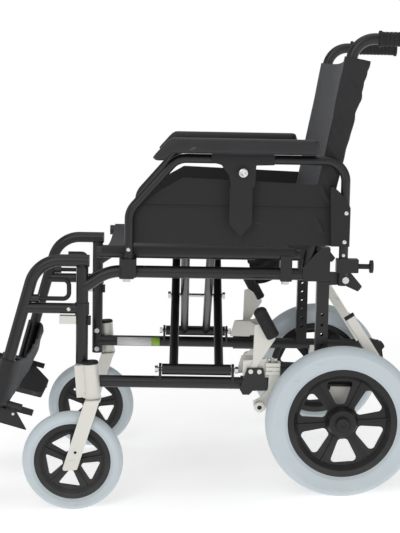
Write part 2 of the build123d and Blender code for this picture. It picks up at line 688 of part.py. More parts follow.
def brace(side, arms, name, play):
    """One half of the cross brace: its pivot tube is on `side`, its seat rail on the other."""
    near = side * half_track
    pivot_line = [(near, pivot_front, brace_pivot_t), (near, pivot_rear, brace_pivot_t)]
    pivot_cut = [(near, pivot_front - 1, brace_pivot_t), (near, pivot_rear + 1, brace_pivot_t)]
    rail_line = [(-near, seat_rail_front, seat_rail_t), (-near, seat_rail_rear, seat_rail_t)]
    rail_cut = [(-near, seat_rail_front + 3, seat_rail_t), (-near, seat_rail_rear + 1, seat_rail_t)]
    bolt_line = [(0, arms[0] - 20, cross_middle), (0, arms[1] + 20, cross_middle)]
    with BuildPart() as half:
        add(rod(pivot_line, pivot_tube))
        add(rod(rail_line, seat_rail_tube))
        for arm in arms:
            add(rod([(near, arm, brace_pivot_t), (-near, arm, seat_rail_t)], brace_tube))
        add(rod(pivot_cut, pivot_bolt + 2 * running), mode=Mode.SUBTRACT)
        add(rod(rail_cut, seat_rail_tube - 2 * wall), mode=Mode.SUBTRACT)
        add(rod(bolt_line, pivot_bolt + 2 * play), mode=Mode.SUBTRACT)
    pieces[name] = half.part


cross_middle = (brace_pivot_t + seat_rail_t) / 2
brace(1, outer_arms, "brace_outer", 0)
brace(-1, inner_arms, "brace_inner", running)

# The bolt on which the two halves of the brace cross
with BuildPart() as brace_bolt:
    add(rod([(0, outer_arms[0] - 16, cross_middle), (0, outer_arms[1] + 16, cross_middle)], pivot_bolt))
    for end in (outer_arms[0] - 16, outer_arms[1] + 10):
        with BuildSketch(Plane(origin=at(0, end, cross_middle), z_dir=rear_way)):
            RegularPolygon(7.5, 6)
        extrude(amount=6)
pieces["brace_bolt"] = brace_bolt.part

# Soft parts: plain solids between the tubes that carry them
with BuildPart() as seat_sling:
    reach = half_track - seat_rail_tube / 2 - gap
    with BuildSketch(Plane(origin=at(0, seat_rail_front + 15, seat_rail_t), x_dir=(1, 0, 0), z_dir=rear_way)):
        with Locations((0, -8.5)):
            Rectangle(2 * reach, sling_thickness)
    extrude(amount=seat_rail_rear - seat_rail_front - 24)
pieces["seat_sling"] = seat_sling.part

with BuildPart() as back_sling:
    cane_way = Vector(math.sin(math.radians(cane_lean)), math.cos(math.radians(cane_lean)))
    span = (back_top - back_bottom) / cane_way.Y
    base_s = cane_foot[0] + (back_bottom - cane_foot[1]) * cane_way.X / cane_way.Y
    lift = rear_way * cane_way.X + up_way * cane_way.Y
    with BuildSketch(Plane(origin=at(0, base_s, back_bottom), x_dir=(1, 0, 0), z_dir=lift)):
        Rectangle(2 * (half_track - cane_tube / 2 - gap), sling_thickness)
    extrude(amount=span)
pieces["back_sling"] = back_sling.part

with BuildPart() as calf_strap:
    strap_foot = 24.0
    strap_top = 104.0
    strap_back = 24.0
    along = rear_way * -diagonal.X + up_way * -diagonal.Y
    with BuildSketch(Plane(
            origin=at(0, on_diagonal(strap_foot) + strap_back, strap_foot), x_dir=(1, 0, 0), z_dir=along)):
        Rectangle(2 * (half_track - hanger_tube / 2 - 2), 5)
    extrude(amount=strap_top - strap_foot)
pieces["calf_strap"] = calf_strap.part

# Move the chair so that the origin is under the middle of its box, and write one file a piece
overall = Compound(children=[Compound(piece.solids()) for piece in pieces.values()]).bounding_box()
shift_y = -(overall.min.Y + overall.max.Y) / 2
shift_z = -overall.min.Z
os.makedirs("parts", exist_ok=True)
for name, piece in pieces.items():
    placed = piece.moved(Location((0, shift_y, shift_z)))
    placed.label = name
    export_step(placed, f"parts/{name}.step")
print("pieces", len(pieces), "size", overall.size, "shift", round(shift_y, 2), round(shift_z, 3))
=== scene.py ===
import bpy
import math
import numpy as np
from mathutils import Matrix, Vector


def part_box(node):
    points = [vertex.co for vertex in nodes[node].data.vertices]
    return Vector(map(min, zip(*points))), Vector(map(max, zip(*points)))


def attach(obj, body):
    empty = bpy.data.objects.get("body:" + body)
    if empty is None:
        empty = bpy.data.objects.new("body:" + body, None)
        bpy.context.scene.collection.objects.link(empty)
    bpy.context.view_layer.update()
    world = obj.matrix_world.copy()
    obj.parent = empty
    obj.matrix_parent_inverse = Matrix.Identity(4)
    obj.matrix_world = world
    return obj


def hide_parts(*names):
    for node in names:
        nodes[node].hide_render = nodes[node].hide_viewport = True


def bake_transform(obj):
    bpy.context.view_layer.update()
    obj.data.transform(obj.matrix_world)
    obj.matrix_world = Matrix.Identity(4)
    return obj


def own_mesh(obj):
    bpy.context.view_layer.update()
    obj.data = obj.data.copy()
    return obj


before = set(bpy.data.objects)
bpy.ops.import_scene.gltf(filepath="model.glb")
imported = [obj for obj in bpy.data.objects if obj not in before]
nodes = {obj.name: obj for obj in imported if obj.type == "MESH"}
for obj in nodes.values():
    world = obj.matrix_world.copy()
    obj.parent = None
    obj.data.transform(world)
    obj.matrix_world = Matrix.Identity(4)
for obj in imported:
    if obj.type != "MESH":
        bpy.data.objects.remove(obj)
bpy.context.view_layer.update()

sides = {"left": 1, "right": -1}
across = np.array([1.0, 0, 0])
print("frame loaded:", len(nodes), "nodes")

# Where things are
# The side frames lean back by the rake. (s, t) run rearwards along the rails and up along the
# posts from the rear axle, in metres, as the frame was drawn.
chair = {"rake": math.radians(4.7), "halfTrack": 0.215}
tyreLow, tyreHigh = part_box("left_rear_tyre")
axle = np.array([0.0, (tyreLow.y + tyreHigh.y) / 2, (tyreLow.z + tyreHigh.z) / 2])
rearWay = np.array([0.0, math.cos(chair["rake"]), -math.sin(chair["rake"])])
upWay = np.array([0.0, math.sin(chair["rake"]), math.cos(chair["rake"])])


# Points at side coordinates: axle + x across + s rearwards + t upwards, for whole arrays.
def place(x, s, t):
    x, s, t = np.broadcast_arrays(np.asarray(x, float), s, t)
    return axle + x[..., None] * across + s[..., None] * rearWay + t[..., None] * upWay


# Camera and light
view = {
    "position": (2.678, -0.257, 0.790),   # from the middle of the chair, the rear axle and the floor
    "pitchDown": math.radians(7.46),
    "roll": math.radians(3.7),
    "focalLength": 85.4,
    "sensorWidth": 36.0,
    "farthest": 60.0,
}
pitch, roll = view["pitchDown"], view["roll"]
forward = Vector((-math.cos(pitch), 0, -math.sin(pitch)))
levelRight = Vector((0, 1, 0))
levelUp = Vector((-math.sin(pitch), 0, math.cos(pitch)))
viewRight = levelRight * math.cos(roll) - levelUp * math.sin(roll)
viewUp = levelRight * math.sin(roll) + levelUp * math.cos(roll)
cameraData = bpy.data.cameras.new("camera")
cameraData.lens = view["focalLength"]
cameraData.sensor_width = view["sensorWidth"]
cameraData.clip_end = view["farthest"]
camera = bpy.data.objects.new("camera", cameraData)
bpy.context.scene.collection.objects.link(camera)
turn = Matrix((viewRight, viewUp, -forward)).transposed().to_4x4()
where = Vector((view["position"][0], axle[1] + view["position"][1], view["position"][2]))
camera.matrix_world = Matrix.Translation(where) @ turn
bpy.context.scene.camera = camera

lamps = {
    "keyLight": {"at": (3.2, -1.0, 2.3), "aim": (0.1, -0.1, 0.45), "power": 30, "size": 2.4},
    "fillLight": {"at": (2.6, 2.2, 1.3), "aim": (0.1, 0.0, 0.45), "power": 11, "size": 2.4},
    "frontLight": {"at": (0.6, -3.0, 1.4), "aim": (0.0, -0.2, 0.4), "power": 9, "size": 2.2},
    "overheadLight": {"at": (0.2, 0.1, 3.0), "aim": (0.0, 0.0, 0.4), "power": 16, "size": 2.6},
}
for name, lamp in lamps.items():
    data = bpy.data.lights.new(name, "AREA")
    data.energy = lamp["power"]
    data.size = lamp["size"]
    light = bpy.data.objects.new(name, data)
    bpy.context.scene.collection.objects.link(light)
    light.location = lamp["at"]
    aim = Vector(lamp["aim"]) - light.location
    light.rotation_euler = aim.to_track_quat("-Z", "Y").to_euler()
bpy.context.scene.view_settings.view_transform = "Standard"

# The backdrop is plain white to the camera and a weaker white light to everything else
backdrop = {"seen": 1.0, "lit": 0.34, "color": (1.0, 1.0, 1.0, 1)}
studio = bpy.data.worlds.new("studio")
bpy.context.scene.world = studio
studio.use_nodes = True
sky = studio.node_tree
rayKind = sky.nodes.new("ShaderNodeLightPath")
strength = sky.nodes.new("ShaderNodeMapRange")
strength.inputs["To Min"].default_value = backdrop["lit"]
strength.inputs["To Max"].default_value = backdrop["seen"]
sky.links.new(rayKind.outputs["Is Camera Ray"], strength.inputs["Value"])
sky.links.new(strength.outputs["Result"], sky.nodes["Background"].inputs["Strength"])
sky.nodes["Background"].inputs["Color"].default_value = backdrop["color"]
print("camera and lights set")

# A shader node group with its named sockets, and its input and output nodes.
def newGroup(name, inputs, outputs):
    group = bpy.data.node_groups.new(name, "ShaderNodeTree")
    for socket, kind, start in inputs:
        made = group.interface.new_socket(name=socket, in_out="INPUT", socket_type="NodeSocket" + kind)
        if start is not None:
            made.default_value = start
    for socket, kind in outputs:
        group.interface.new_socket(name=socket, in_out="OUTPUT", socket_type="NodeSocket" + kind)
    return group, group.nodes.new("NodeGroupInput"), group.nodes.new("NodeGroupOutput")


# A Math node fed by sockets or numbers; its output socket.
def mathNode(tree, operation, first, second=None, third=None):
    node = tree.nodes.new("ShaderNodeMath")
    node.operation = operation
    for slotNumber, value in enumerate((first, second, third)):
        if value is None:
            continue
        if isinstance(value, (int, float)):
            node.inputs[slotNumber].default_value = value
        else:
            tree.links.new(value, node.inputs[slotNumber])
    return node.outputs[0]


# A Noise Texture on a vector socket; its factor output.
def noiseNode(tree, vector, scale, detail=4.0, rough=0.55):
    node = tree.nodes.new("ShaderNodeTexNoise")
    node.inputs["Detail"].default_value = detail
    node.inputs["Roughness"].default_value = rough
    tree.links.new(vector, node.inputs["Vector"])
    if isinstance(scale, (int, float)):
        node.inputs["Scale"].default_value = scale
    else:
        tree.links.new(scale, node.inputs["Scale"])
    return node.outputs["Fac"]


# Slow colour change: broad noise plus a little fine noise mixes a base colour with its accent.
def makeToneDrift():
    group, inside, out = newGroup("toneDrift", [
        ("Vector", "Vector", None), ("Scale", "Float", 6.0),
        ("Base", "Color", (0.1, 0.1, 0.1, 1)), ("Accent", "Color", (0.2, 0.2, 0.2, 1)),
        ("Contrast", "Float", 1.6),
    ], [("Color", "Color"), ("Mask", "Float")])
    broad = noiseNode(group, inside.outputs["Vector"], inside.outputs["Scale"], 5.0)
    centred = mathNode(group, "SUBTRACT", broad, 0.5)
    spread = mathNode(group, "MULTIPLY", centred, inside.outputs["Contrast"])
    mask = group.nodes.new("ShaderNodeClamp")
    group.links.new(mathNode(group, "ADD", spread, 0.5), mask.inputs["Value"])
    mix = group.nodes.new("ShaderNodeMix")
    mix.data_type = "RGBA"
    group.links.new(mask.outputs[0], mix.inputs["Factor"])
    group.links.new(inside.outputs["Base"], mix.inputs["A"])
    group.links.new(inside.outputs["Accent"], mix.inputs["B"])
    group.links.new(mix.outputs["Result"], out.inputs["Color"])
    group.links.new(mask.outputs[0], out.inputs["Mask"])
    return group


# Grain height: pebbles from a smooth Voronoi cell distance, broken up by fine noise.
def makeFineGrain():
    group, inside, out = newGroup("fineGrain", [
        ("Vector", "Vector", None), ("Scale", "Float", 900.0), ("Pebble", "Float", 0.5),
    ], [("Height", "Float")])
    cells = group.nodes.new("ShaderNodeTexVoronoi")
    cells.feature = "SMOOTH_F1"
    group.links.new(inside.outputs["Vector"], cells.inputs["Vector"])
    group.links.new(inside.outputs["Scale"], cells.inputs["Scale"])
    fine = noiseNode(group, inside.outputs["Vector"], inside.outputs["Scale"], 3.0)
    mix = group.nodes.new("ShaderNodeMix")
    group.links.new(inside.outputs["Pebble"], mix.inputs["Factor"])
    group.links.new(fine, mix.inputs["A"])
    group.links.new(cells.outputs["Distance"], mix.inputs["B"])
    group.links.new(mix.outputs["Result"], out.inputs["Height"])
    return group


# Rub marks: stretched noise cut off near its top leaves thin scattered streaks as a mask.
def makeScuffs():
    rubs = {"stretch": (3.0, 0.6, 1.6), "detail": 8.0, "rough": 0.7, "sharpness": 12.0}
    group, inside, out = newGroup("scuffs", [
        ("Vector", "Vector", None), ("Scale", "Float", 30.0), ("Cover", "Float", 0.62),
    ], [("Mask", "Float")])
    stretch = group.nodes.new("ShaderNodeVectorMath")
    stretch.operation = "MULTIPLY"
    stretch.inputs[1].default_value = rubs["stretch"]
    group.links.new(inside.outputs["Vector"], stretch.inputs[0])
    streaks = noiseNode(group, stretch.outputs[0], inside.outputs["Scale"], rubs["detail"], rubs["rough"])
    over = mathNode(group, "SUBTRACT", streaks, inside.outputs["Cover"])
    sharp = group.nodes.new("ShaderNodeClamp")
    group.links.new(mathNode(group, "MULTIPLY", over, rubs["sharpness"]), sharp.inputs["Value"])
    group.links.new(sharp.outputs[0], out.inputs["Mask"])
    return group


# Dust mask: strongest at the floor, fading upwards over a height, broken up by noise.
def makeRoadDust():
    dust = {"scale": 38.0, "detail": 6.0, "rough": 0.65}
    group, inside, out = newGroup("roadDust", [
        ("Vector", "Vector", None), ("Reach", "Float", 0.12), ("Amount", "Float", 0.5),
    ], [("Mask", "Float")])
    split = group.nodes.new("ShaderNodeSeparateXYZ")
    group.links.new(inside.outputs["Vector"], split.inputs[0])
    high = mathNode(group, "DIVIDE", split.outputs["Z"], inside.outputs["Reach"])
    low = group.nodes.new("ShaderNodeClamp")
    group.links.new(mathNode(group, "SUBTRACT", 1.0, high), low.inputs["Value"])
    patches = noiseNode(group, inside.outputs["Vector"], dust["scale"], dust["detail"], dust["rough"])
    both = mathNode(group, "MULTIPLY", low.outputs[0], patches)
    group.links.new(mathNode(group, "MULTIPLY", both, inside.outputs["Amount"]), out.inputs["Mask"])
    return group


# Basket weave from a UV map: crossed sine ridges, each raised where the other dips.
def makeClothWeave():
    group, inside, out = newGroup("clothWeave", [
        ("Vector", "Vector", None), ("Threads", "Float", 900.0),
    ], [("Height", "Float"), ("Mask", "Float")])
    split = group.nodes.new("ShaderNodeSeparateXYZ")
    group.links.new(inside.outputs["Vector"], split.inputs[0])
    waves = []
    for axis in ("X", "Y"):
        turns = mathNode(group, "MULTIPLY", split.outputs[axis], inside.outputs["Threads"])
        waves.append(mathNode(group, "SINE", turns))
    weft = mathNode(group, "MULTIPLY", waves[0], waves[1])
    ridge = mathNode(group, "ABSOLUTE", waves[0])
    over = mathNode(group, "MULTIPLY_ADD", ridge, 0.5, weft)
    group.links.new(over, out.inputs["Height"])
    group.links.new(mathNode(group, "MULTIPLY_ADD", weft, 0.5, 0.5), out.inputs["Mask"])
    return group


# The shader groups that the finishes share
groups = {
    "toneDrift": makeToneDrift(),
    "fineGrain": makeFineGrain(),
    "scuffs": makeScuffs(),
    "roadDust": makeRoadDust(),
    "clothWeave": makeClothWeave(),
}
print("shader groups:", ", ".join(groups))


# A material with its Principled shader's own values set, and its Object coordinates.
def startFinish(name, plain):
    material = bpy.data.materials.new(name)
    material.use_nodes = True
    tree = material.node_tree
    shader = tree.nodes["Principled BSDF"]
    for socket, value in plain.items():
        shader.inputs[socket].default_value = value
    coords = tree.nodes.new("ShaderNodeTexCoord")
    return material, tree, shader, coords


# Places a group, its vector linked and its own numbers or colours set.
def useGroup(tree, name, vector, **values):
    node = tree.nodes.new("ShaderNodeGroup")
    node.node_tree = groups[name]
    tree.links.new(vector, node.inputs["Vector"])
    for socket, value in values.items():
        node.inputs[socket].default_value = value
    return node


# A colour mix: `under` where the mask is 0, `over` where it is 1.
def mixColor(tree, mask, under, over):
    mix = tree.nodes.new("ShaderNodeMix")
    mix.data_type = "RGBA"
    tree.links.new(mask, mix.inputs["Factor"])
    for socket, value in (("A", under), ("B", over)):
        if isinstance(value, tuple):
            mix.inputs[socket].default_value = value
        else:
            tree.links.new(value, mix.inputs[socket])
    return mix.outputs["Result"]


# Feeds a height to the shader's normal through a Bump node.
def bump(tree, shader, height, strength, distance):
    node = tree.nodes.new("ShaderNodeBump")
    node.inputs["Strength"].default_value = strength
    node.inputs["Distance"].default_value = distance
    tree.links.new(height, node.inputs["Height"])
    tree.links.new(node.outputs["Normal"], shader.inputs["Normal"])


# Paint, metal or plastic: drifting tone, grain bump, scuffs, and dust near the floor.
def makeHardFinish(name, look):
    material, tree, shader, coords = startFinish(name, look["plain"])
    where = coords.outputs["Object"]
    tone = useGroup(tree, "toneDrift", where, Scale=look["driftScale"], Base=look["base"],
                    Accent=look["accent"], Contrast=look.get("contrast", 1.6))
    rubs = useGroup(tree, "scuffs", where, Scale=look["scuffScale"], Cover=look["scuffCover"])
    color = mixColor(tree, rubs.outputs["Mask"], tone.outputs["Color"], look["scuffColor"])
    if look.get("dust"):
        dust = useGroup(tree, "roadDust", where, Reach=look["dustReach"], Amount=look["dust"])
        color = mixColor(tree, dust.outputs["Mask"], color, look["dustColor"])
    tree.links.new(color, shader.inputs["Base Color"])
    low, high = look["roughness"]
    rough = mathNode(tree, "MULTIPLY_ADD", tone.outputs["Mask"], high - low, low)
    rough = mathNode(tree, "MULTIPLY_ADD", rubs.outputs["Mask"], look["scuffRough"], rough)
    tree.links.new(rough, shader.inputs["Roughness"])
    grain = useGroup(tree, "fineGrain", where, Scale=look["grainScale"], Pebble=look["pebble"])
    bump(tree, shader, grain.outputs["Height"], look["grainStrength"], look["grainDepth"])
    return material


hardLooks = {
    "framePaint": {
        "plain": {"Specular IOR Level": 0.42, "Coat Weight": 0.15, "Coat Roughness": 0.25},
        "base": (0.0085, 0.0082, 0.0086, 1), "accent": (0.013, 0.0125, 0.013, 1), "driftScale": 9.0,
        "roughness": (0.27, 0.37), "scuffScale": 26.0, "scuffCover": 0.70, "scuffRough": 0.12,
        "scuffColor": (0.028, 0.028, 0.030, 1), "grainScale": 1400.0, "pebble": 0.5,
        "grainStrength": 0.18, "grainDepth": 0.0004,
    },
    "silverMetal": {
        "plain": {"Metallic": 0.4, "Specular IOR Level": 0.5},
        "base": (0.72, 0.71, 0.66, 1), "accent": (0.79, 0.775, 0.72, 1), "driftScale": 14.0,
        "roughness": (0.38, 0.50), "scuffScale": 40.0, "scuffCover": 0.66, "scuffRough": 0.14,
        "scuffColor": (0.52, 0.51, 0.48, 1), "grainScale": 2200.0, "pebble": 0.2,
        "grainStrength": 0.12, "grainDepth": 0.0002,
    },
    "boltMetal": {
        "plain": {"Metallic": 0.95},
        "base": (0.68, 0.68, 0.67, 1), "accent": (0.78, 0.78, 0.77, 1), "driftScale": 60.0,
        "roughness": (0.20, 0.34), "scuffScale": 90.0, "scuffCover": 0.6, "scuffRough": 0.2,
        "scuffColor": (0.4, 0.4, 0.39, 1), "grainScale": 3000.0, "pebble": 0.2,
        "grainStrength": 0.1, "grainDepth": 0.0002,
    },
    "blackPlastic": {
        "plain": {"Specular IOR Level": 0.42},
        "base": (0.010, 0.010, 0.0105, 1), "accent": (0.015, 0.015, 0.0155, 1), "driftScale": 12.0,
        "roughness": (0.48, 0.6), "scuffScale": 34.0, "scuffCover": 0.66, "scuffRough": 0.15,
        "scuffColor": (0.06, 0.06, 0.062, 1), "grainScale": 1300.0, "pebble": 0.7,
        "grainStrength": 0.3, "grainDepth": 0.0004,
    },
    "wheelPlastic": {
        "plain": {"Specular IOR Level": 0.42},
        "base": (0.0115, 0.011, 0.0115, 1), "accent": (0.017, 0.0165, 0.017, 1), "driftScale": 10.0,
        "roughness": (0.46, 0.58), "scuffScale": 24.0, "scuffCover": 0.66, "scuffRough": 0.15,
        "scuffColor": (0.062, 0.062, 0.064, 1), "grainScale": 1100.0, "pebble": 0.7,
        "grainStrength": 0.3, "grainDepth": 0.0004,
        "dust": 0.35, "dustReach": 0.16, "dustColor": (0.16, 0.155, 0.145, 1),
    },
    "platePlastic": {
        "plain": {"Specular IOR Level": 0.4},
        "base": (0.019, 0.018, 0.020, 1), "accent": (0.028, 0.027, 0.029, 1), "driftScale": 11.0,
        "roughness": (0.5, 0.64), "scuffScale": 22.0, "scuffCover": 0.6, "scuffRough": 0.18,
        "scuffColor": (0.09, 0.09, 0.092, 1), "grainScale": 800.0, "pebble": 0.8,
        "grainStrength": 0.4, "grainDepth": 0.0006,
    },
    "panelPlastic": {
        "plain": {"Specular IOR Level": 0.35},
        "base": (0.0155, 0.0148, 0.0150, 1), "accent": (0.0205, 0.0195, 0.0195, 1), "driftScale": 7.0,
        "roughness": (0.55, 0.66), "scuffScale": 20.0, "scuffCover": 0.67, "scuffRough": 0.14,
        "scuffColor": (0.07, 0.07, 0.07, 1), "grainScale": 1000.0, "pebble": 0.8,
        "grainStrength": 0.4, "grainDepth": 0.0005,
    },
    "padFoam": {
        "plain": {"Specular IOR Level": 0.4, "Sheen Weight": 0.08, "Sheen Roughness": 0.5},
        "base": (0.0165, 0.0165, 0.0185, 1), "accent": (0.024, 0.0245, 0.027, 1), "driftScale": 16.0,
        "roughness": (0.42, 0.56), "scuffScale": 30.0, "scuffCover": 0.64, "scuffRough": 0.12,
        "scuffColor": (0.08, 0.082, 0.088, 1), "grainScale": 520.0, "pebble": 0.9,
        "grainStrength": 0.45, "grainDepth": 0.0007,
    },
    "gripRubber": {
        "plain": {"Specular IOR Level": 0.38},
        "base": (0.010, 0.0095, 0.010, 1), "accent": (0.015, 0.0145, 0.015, 1), "driftScale": 30.0,
        "roughness": (0.55, 0.7), "scuffScale": 40.0, "scuffCover": 0.62, "scuffRough": 0.1,
        "scuffColor": (0.05, 0.05, 0.05, 1), "grainScale": 1500.0, "pebble": 0.4,
        "grainStrength": 0.35, "grainDepth": 0.0004,
    },
    "tyreUrethane": {
        "plain": {"Specular IOR Level": 0.45, "Subsurface Weight": 0.05,
                  "Subsurface Radius": (0.01, 0.01, 0.01)},
        "base": (0.55, 0.62, 0.655, 1), "accent": (0.60, 0.665, 0.70, 1), "driftScale": 18.0,
        "roughness": (0.42, 0.55), "scuffScale": 26.0, "scuffCover": 0.62, "scuffRough": 0.15,
        "scuffColor": (0.48, 0.53, 0.56, 1), "grainScale": 700.0, "pebble": 0.4,
        "grainStrength": 0.25, "grainDepth": 0.0004,
        "dust": 0.35, "dustReach": 0.10, "dustColor": (0.36, 0.35, 0.33, 1),
    },
}
for name, tone in (("paleBand", (0.70, 0.71, 0.70, 1)), ("tintBand", (0.30, 0.52, 0.06, 1))):
    hardLooks[name] = dict(hardLooks["boltMetal"], plain={"Specular IOR Level": 0.4}, base=tone, accent=tone,
                           scuffColor=tone, roughness=(0.4, 0.5))
finishes = {name: makeHardFinish(name, look) for name, look in hardLooks.items()}


# Woven cloth on the piece's own UV map: weave bump, thread colour, slow fading and sheen.
def makeClothFinish(name, look):
    material, tree, shader, coords = startFinish(name, look["plain"])
    tone = useGroup(tree, "toneDrift", coords.outputs["Object"], Scale=look["driftScale"],
                    Base=look["base"], Accent=look["accent"])
    weave = useGroup(tree, "clothWeave", coords.outputs["UV"], Threads=look["threads"])
    threadMask = mathNode(tree, "MULTIPLY", weave.outputs["Mask"], look["threadContrast"])
    color = mixColor(tree, threadMask, tone.outputs["Color"], look["threadColor"])
    tree.links.new(color, shader.inputs["Base Color"])
    low, high = look["roughness"]
    rough = mathNode(tree, "MULTIPLY_ADD", tone.outputs["Mask"], high - low, low)
    tree.links.new(rough, shader.inputs["Roughness"])
    bump(tree, shader, weave.outputs["Height"], look["weaveStrength"], look["weaveDepth"])
    return material


clothLooks = {
    "slingNylon": {
        "plain": {"Specular IOR Level": 0.35, "Sheen Weight": 0.25, "Sheen Roughness": 0.45,
                  "Sheen Tint": (0.6, 0.62, 0.66, 1)},
        "base": (0.011, 0.011, 0.012, 1), "accent": (0.017, 0.017, 0.0185, 1), "driftScale": 8.0,
        "threads": 2600.0, "threadContrast": 0.35, "threadColor": (0.036, 0.036, 0.039, 1),
        "roughness": (0.52, 0.66), "weaveStrength": 0.35, "weaveDepth": 0.0005,
    },
}
finishes.update({name: makeClothFinish(name, look) for name, look in clothLooks.items()})
print("finishes:", len(finishes))

# The finish of each kind of CAD node, left and right alike
nodeFinish = {
    "side_frame": "framePaint", "back_cane": "framePaint", "push_grip": "gripRubber",
    "caster_housing": "silverMetal", "axle_bracket": "silverMetal", "rear_strut": "silverMetal",
    "sockets": "framePaint", "frame_caps": "blackPlastic", "frame_bolts": "boltMetal",
    "brake_clamp": "framePaint", "brake_mount": "silverMetal", "caster_fork": "silverMetal",
    "caster_rim": "wheelPlastic", "caster_tyre": "tyreUrethane", "rear_rim": "wheelPlastic",
    "rear_tyre": "tyreUrethane", "armrest_tube": "framePaint", "side_panel": "panelPlastic",
    "pad_post": "blackPlastic", "arm_pad": "padFoam", "plunger": "blackPlastic",
    "legrest_hanger": "framePaint", "release_lever": "blackPlastic", "foot_stem": "framePaint",
    "footplate": "platePlastic", "brake_lever": "silverMetal", "brake_shoe": "silverMetal",
    "brace_outer": "framePaint", "brace_inner": "framePaint", "brace_bolt": "boltMetal",
    "seat_sling": "slingNylon", "back_sling": "slingNylon", "calf_strap": "slingNylon",
}
for name, piece in nodes.items():
    plain = name.removeprefix("left_").removeprefix("right_")
    finish = finishes[nodeFinish[plain]]
    for slotNumber in range(max(1, len(piece.material_slots))):
        if piece.material_slots:
            piece.material_slots[slotNumber].material = finish
        else:
            piece.data.materials.append(finish)
print("CAD nodes finished")

# Surfaces: every piece below is a grid of points, worked out and filled in as whole arrays
track = chair["halfTrack"]
pole = 1e-5                              # smallest radius of a ring, so that a turned body's end is closed


# A mesh object of points, faces and flat coordinates, with its finish, its body and what it stands for
def meshPiece(name, points, faces, flat, finish, body, nodeNames=()):
    mesh = bpy.data.meshes.new(name)
    mesh.from_pydata(points.tolist(), [], faces)
    corners = np.empty(len(mesh.loops), np.int32)
    mesh.loops.foreach_get("vertex_index", corners)
    layer = mesh.uv_layers.new(name="flat")
    layer.data.foreach_set("uv", flat[corners].astype(np.float32).ravel())
    mesh.polygons.foreach_set("use_smooth", np.ones(len(mesh.polygons), bool))
    mesh.materials.append(finishes[finish])
    piece = bpy.data.objects.new(name, mesh)
    bpy.context.scene.collection.objects.link(piece)
    if nodeNames:
        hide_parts(*nodeNames)
    if body:
        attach(piece, body)
    return piece


# Quads between neighbours of a grid of vertex numbers, joined round when it is closed
def gridFaces(numbers, closed=False, flip=False):
    if closed:
        numbers = np.concatenate([numbers, numbers[:, :1]], axis=1)
    quads = np.stack([numbers[:-1, :-1], numbers[:-1, 1:], numbers[1:, 1:], numbers[1:, :-1]], -1)
    quads = quads.reshape(-1, 4)
    return (quads[:, ::-1] if flip else quads).tolist()


# Flat coordinates in metres: the mean arc lengths across and down a grid
def flatPattern(middle):
    wide = np.linalg.norm(np.diff(middle, axis=1), axis=2).mean(0)
    down = np.linalg.norm(np.diff(middle, axis=0), axis=2).mean(1)
    u = np.concatenate([[0], np.cumsum(wide)])
    v = np.concatenate([[0], np.cumsum(down)])
    return np.stack(np.meshgrid(u, v), -1)


# Cloth of one thickness: the grid moved half of it along its normals both ways, with its edges closed
def thickSheet(name, middle, thickness, finish, body, nodeNames=(), closed=False):
    if closed:
        sideways = (np.roll(middle, -1, 1) - np.roll(middle, 1, 1)) / 2
    else:
        sideways = np.gradient(middle, axis=1)
    normal = np.cross(sideways, np.gradient(middle, axis=0))
    normal /= np.linalg.norm(normal, axis=2, keepdims=True) + 1e-12
    rows, columns = middle.shape[:2]
    front = np.arange(rows * columns).reshape(rows, columns)
    back = front + rows * columns
    points = np.concatenate([(middle + normal * thickness / 2).reshape(-1, 3),
                             (middle - normal * thickness / 2).reshape(-1, 3)])
    faces = gridFaces(front, closed) + gridFaces(back, closed, True)
    faces += gridFaces(np.stack([back[0], front[0]]), closed)
    faces += gridFaces(np.stack([front[-1], back[-1]]), closed)
    if not closed:
        faces += gridFaces(np.stack([front[:, 0], back[:, 0]]))
        faces += gridFaces(np.stack([back[:, -1], front[:, -1]]))
    flat = flatPattern(middle).reshape(-1, 2)
    return meshPiece(name, points, faces, np.concatenate([flat, flat]), finish, body, nodeNames)


# Closed bodies as one piece: each is a stack of rings with a flat cap on its first and last
def ringBodies(name, bodies, finish, body, nodeNames=()):
    points, faces, flat = [], [], []
    start = 0
    for rings in bodies:
        count, around = rings.shape[:2]
        numbers = start + np.arange(count * around).reshape(count, around)
        faces += gridFaces(numbers, True)
        faces += [numbers[0, ::-1].tolist(), numbers[-1].tolist()]
        points.append(rings.reshape(-1, 3))
        flat.append(flatPattern(rings).reshape(-1, 2))
        start += count * around
    return meshPiece(name, np.concatenate(points), faces, np.concatenate(flat), finish, body,
                     nodeNames)


# A turned body's rings: a profile of (radius, distance along the axis) carried round the axis
def turned(center, along, profile, around):
    along = np.asarray(along, float) / np.linalg.norm(along)
    side = np.cross(along, [0.0, 0.31, 0.95])
    side /= np.linalg.norm(side)
    other = np.cross(along, side)
    angle = np.linspace(0, 2 * np.pi, around, endpoint=False)
    ring = np.cos(angle)[:, None] * side + np.sin(angle)[:, None] * other
    radius, reach = np.array(profile, float).T
    radius = np.maximum(radius, pole)
    return np.asarray(center) + ring[None] * radius[:, None, None] + reach[:, None, None] * along


# A flat plate: an (s, t) outline carried through its thickness, a little smaller at both faces
def plate(name, outline, x, thickness, sign, finish, body, slotName, edge=0.0006):
    outline = np.array(outline, float)
    middle = outline.mean(0)
    inward = 1 - edge / np.linalg.norm(outline - middle, axis=1, keepdims=True)
    small = middle + (outline - middle) * inward
    layers = [(small, 0.0), (outline, edge), (outline, thickness - edge), (small, thickness)]
    rings = np.stack([place(sign * (x + reach), ring[:, 0], ring[:, 1]) for ring, reach in layers])
    piece = ringBodies(name, [rings if sign > 0 else rings[:, ::-1]], finish, body)
    piece.data.polygons.foreach_set("use_smooth", np.zeros(len(piece.data.polygons), bool))
    return piece


def box(front, rear, low, high):
    return [(front, low), (rear, low), (rear, high), (front, high)]


# An S-shaped step from 0 at low to 1 at high
def smooth(value, low, high):
    share = np.clip((value - low) / (high - low), 0, 1)
    return share * share * (3 - 2 * share)


